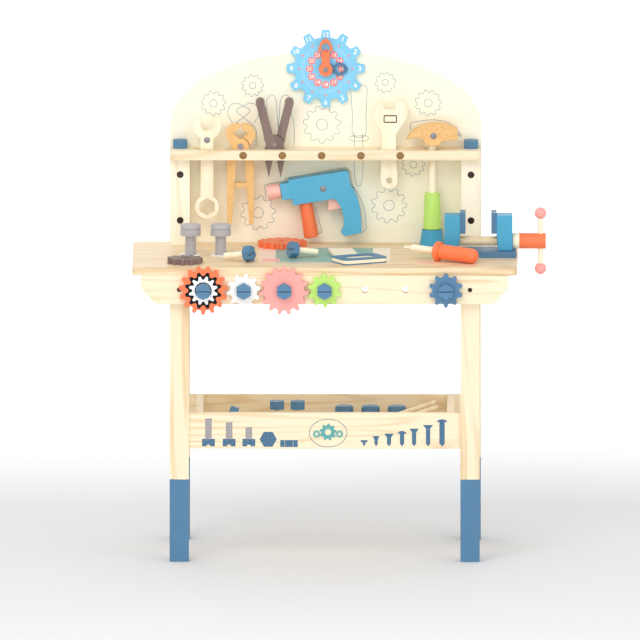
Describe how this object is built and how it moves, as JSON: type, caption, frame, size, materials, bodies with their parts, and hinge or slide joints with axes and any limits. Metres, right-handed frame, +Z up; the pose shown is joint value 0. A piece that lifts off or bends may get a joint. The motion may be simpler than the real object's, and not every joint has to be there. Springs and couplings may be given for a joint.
{
  "type": "toy tool bench",
  "caption": "Wooden toy workbench with back panel, clock, tool shelf and hanging tools, apron gear train, sliding vise, under-table tray and loose toy hardware.",
  "frame": {"origin": "bottom centre of the whole object's bounding box, on the floor plane of the four feet", "axes": "+Z up, +Y from the front apron to the back panel, +X to the viewer's right when facing the apron"},
  "size_m": [0.6448, 0.314, 0.7992],
  "materials": {
    "pale_wood": "satin, fine straight grain",
    "table_wood": "satin, pine grain",
    "panel_wood": "satin, printed with thin pale outlines",
    "leg_wood": "satin, lower ends dipped in blue paint",
    "blue_wood": "satin blue paint",
    "light_blue_wood": "satin light blue paint",
    "vise_blue_wood": "satin blue paint",
    "dark_blue_wood": "satin dark blue paint",
    "dial_blue_wood": "satin pale blue paint",
    "orange_wood": "satin orange paint",
    "pink_wood": "satin pink paint",
    "green_wood": "satin green paint",
    "white_wood": "satin white paint",
    "cream_wood": "satin, pale natural",
    "tan_wood": "satin, golden stain",
    "brown_wood": "satin dark brown stain",
    "grey_wood": "satin grey paint",
    "teal_wood": "satin teal paint",
    "dark_steel": "black oxide",
    "rivet_steel": "brushed"
  },
  "bodies": {
    "bench": {"tabletop": "table_wood", "front_apron": "pale_wood", "rear_aprons": "pale_wood", "legs": "leg_wood", "back_panel": "panel_wood", "shelf_posts": "pale_wood", "tool_shelf": "pale_wood", "frame_screws": "dark_steel", "tray_front": "pale_wood", "tray_back": "pale_wood", "tray_ends": "pale_wood", "tray_floor": "pale_wood", "tray_bolts": "blue_wood", "tray_pegs": "blue_wood", "tray_strips": "cream_wood", "toy_bolts": "blue_wood", "gear_nuts": "blue_wood", "clock_dial": "dial_blue_wood", "clock_pivot": "rivet_steel", "hammer_rest": "vise_blue_wood", "drill_peg": "pale_wood", "vise_base": "dark_blue_wood", "vise_fixed_jaw": "light_blue_wood", "vise_fixed_plate": "dark_blue_wood"},
    "minute_hand": {"clock_minute_hand": "orange_wood"},
    "hour_hand": {"clock_hour_hand": "blue_wood"},
    "gear_orange": {"orange_gear": "orange_wood"},
    "gear_white": {"white_gear": "white_wood"},
    "gear_pink": {"pink_gear": "pink_wood"},
    "gear_green": {"green_gear": "green_wood"},
    "gear_blue": {"blue_gear": "blue_wood"},
    "vise_jaw": {"vise_moving_jaw": "light_blue_wood", "vise_moving_plate": "dark_blue_wood"},
    "vise_spindle": {"vise_screw": "cream_wood", "vise_sleeve": "orange_wood"},
    "vise_handle": {"vise_bar": "cream_wood", "vise_bar_balls": "pink_wood"},
    "spanner_tool": {"spanner": "cream_wood"},
    "pliers_tool": {"pliers_right_half": "tan_wood", "pliers_pin": "rivet_steel"},
    "pliers_left": {"pliers_left_half": "tan_wood"},
    "cutters_tool": {"cutters_right_half": "brown_wood", "cutters_pin": "rivet_steel"},
    "cutters_left": {"cutters_left_half": "brown_wood"},
    "wrench_tool": {"adjustable_wrench": "cream_wood"},
    "hammer_tool": {"hammer_head": "tan_wood", "hammer_handle": "cream_wood", "hammer_grip": "green_wood"},
    "drill_tool": {"drill_body": "light_blue_wood", "drill_side_handle": "orange_wood"},
    "chuck": {"drill_chuck": "pink_wood"},
    "trigger": {"drill_trigger": "pink_wood"},
    "saw_tool": {"saw_blade": "cream_wood", "saw_grip_plates": "dark_blue_wood"},
    "screwdriver_tool": {"screwdriver_handle": "orange_wood", "screwdriver_shaft": "cream_wood"},
    "standing_screws": {"table_screws": "grey_wood"},
    "orange_gear_loose": {"loose_orange_gear": "orange_wood"},
    "brown_gear_loose": {"loose_brown_gear": "brown_wood"},
    "bolts_loose": {"loose_bolts": "blue_wood"}
  },
  "joints": [
    {"name": "minute_hand_turn", "type": "hinge", "parent": "bench", "child": "minute_hand", "pos_m": [-0.0224, 0.132, 0.7385], "axis": [0, 1, 0], "continuous": true},
    {"name": "hour_hand_turn", "type": "hinge", "parent": "bench", "child": "hour_hand", "pos_m": [-0.0224, 0.137, 0.7385], "axis": [0, 1, 0], "continuous": true},
    {"name": "orange_gear_turn", "type": "hinge", "parent": "bench", "child": "gear_orange", "pos_m": [-0.2114, -0.139, 0.43], "axis": [0, 1, 0], "continuous": true},
    {"name": "white_gear_turn", "type": "hinge", "parent": "bench", "child": "gear_white", "pos_m": [-0.1484, -0.139, 0.43], "axis": [0, 1, 0], "continuous": true},
    {"name": "pink_gear_turn", "type": "hinge", "parent": "bench", "child": "gear_pink", "pos_m": [-0.0854, -0.139, 0.43], "axis": [0, 1, 0], "continuous": true},
    {"name": "green_gear_turn", "type": "hinge", "parent": "bench", "child": "gear_green", "pos_m": [-0.0224, -0.139, 0.43], "axis": [0, 1, 0], "continuous": true},
    {"name": "blue_gear_turn", "type": "hinge", "parent": "bench", "child": "gear_blue", "pos_m": [0.1666, -0.139, 0.43], "axis": [0, 1, 0], "continuous": true},
    {"name": "vise_screw_turn", "type": "hinge", "parent": "vise_jaw", "child": "vise_spindle", "pos_m": [0.2776, 0.006, 0.4875], "axis": [-1, 0, 0], "range_deg": [0, 2727.27]},
    {"name": "vise_jaw_slide", "type": "slide", "parent": "bench", "child": "vise_jaw", "axis": [-1, 0, 0], "range_m": [0, 0.025]},
    {"name": "vise_bar_slide", "type": "slide", "parent": "vise_spindle", "child": "vise_handle", "axis": [0, 0, 1], "range_m": [-0.02, 0.02]},
    {"name": "spanner_lift", "type": "slide", "parent": "bench", "child": "spanner_tool", "axis": [0, 0, 1], "range_m": [0, 0.125]},
    {"name": "pliers_lift", "type": "slide", "parent": "bench", "child": "pliers_tool", "axis": [0, 0, 1], "range_m": [0, 0.135]},
    {"name": "pliers_open", "type": "hinge", "parent": "pliers_tool", "child": "pliers_left", "pos_m": [-0.1549, 0.123, 0.6192], "axis": [0, 1, 0], "range_deg": [0, 3.5]},
    {"name": "cutters_lift", "type": "slide", "parent": "bench", "child": "cutters_tool", "axis": [0, 0, 1], "range_m": [0, 0.06]},
    {"name": "cutters_close", "type": "hinge", "parent": "cutters_tool", "child": "cutters_left", "pos_m": [-0.1016, 0.123, 0.6223], "axis": [0, 1, 0], "range_deg": [0, 10]},
    {"name": "wrench_lift", "type": "slide", "parent": "bench", "child": "wrench_tool", "axis": [0, 0, 1], "range_m": [0, 0.075]},
    {"name": "hammer_lift", "type": "slide", "parent": "bench", "child": "hammer_tool", "axis": [0, 0, 1], "range_m": [0, 0.16]},
    {"name": "drill_unhook", "type": "slide", "parent": "bench", "child": "drill_tool", "axis": [0, -1, 0], "range_m": [0, 0.075]},
    {"name": "chuck_turn", "type": "hinge", "parent": "drill_tool", "child": "chuck", "pos_m": [-0.02715, 0.13, 0.55882], "axis": [0.9869, 0, 0.1616], "continuous": true},
    {"name": "trigger_pull", "type": "slide", "parent": "drill_tool", "child": "trigger", "axis": [0.9869, 0, 0.1616], "range_m": [0, 0.004], "stiffness_N_per_m": 150},
    {"name": "saw_lift", "type": "slide", "parent": "bench", "child": "saw_tool", "axis": [0, 0, 1], "range_m": [0, 0.03]},
    {"name": "screwdriver_lift", "type": "slide", "parent": "bench", "child": "screwdriver_tool", "axis": [0, 0, 1], "range_m": [0, 0.05]},
    {"name": "table_screws_lift", "type": "slide", "parent": "bench", "child": "standing_screws", "axis": [0, 0, 1], "range_m": [0, 0.06]},
    {"name": "loose_orange_gear_lift", "type": "slide", "parent": "bench", "child": "orange_gear_loose", "axis": [0, 0, 1], "range_m": [0, 0.03]},
    {"name": "loose_brown_gear_lift", "type": "slide", "parent": "bench", "child": "brown_gear_loose", "axis": [0, 0, 1], "range_m": [0, 0.05]},
    {"name": "loose_bolts_lift", "type": "slide", "parent": "bench", "child": "bolts_loose", "axis": [0, 0, 1], "range_m": [0, 0.03]}
  ],
  "couplings": [
    {"joint": "white_gear_turn", "follows": "orange_gear_turn", "ratio": -1.5},
    {"joint": "pink_gear_turn", "follows": "orange_gear_turn", "ratio": 1},
    {"joint": "green_gear_turn", "follows": "orange_gear_turn", "ratio": -1.5},
    {"joint": "vise_screw_turn", "follows": "vise_jaw_slide", "rad_per_m": 1904}
  ]
}
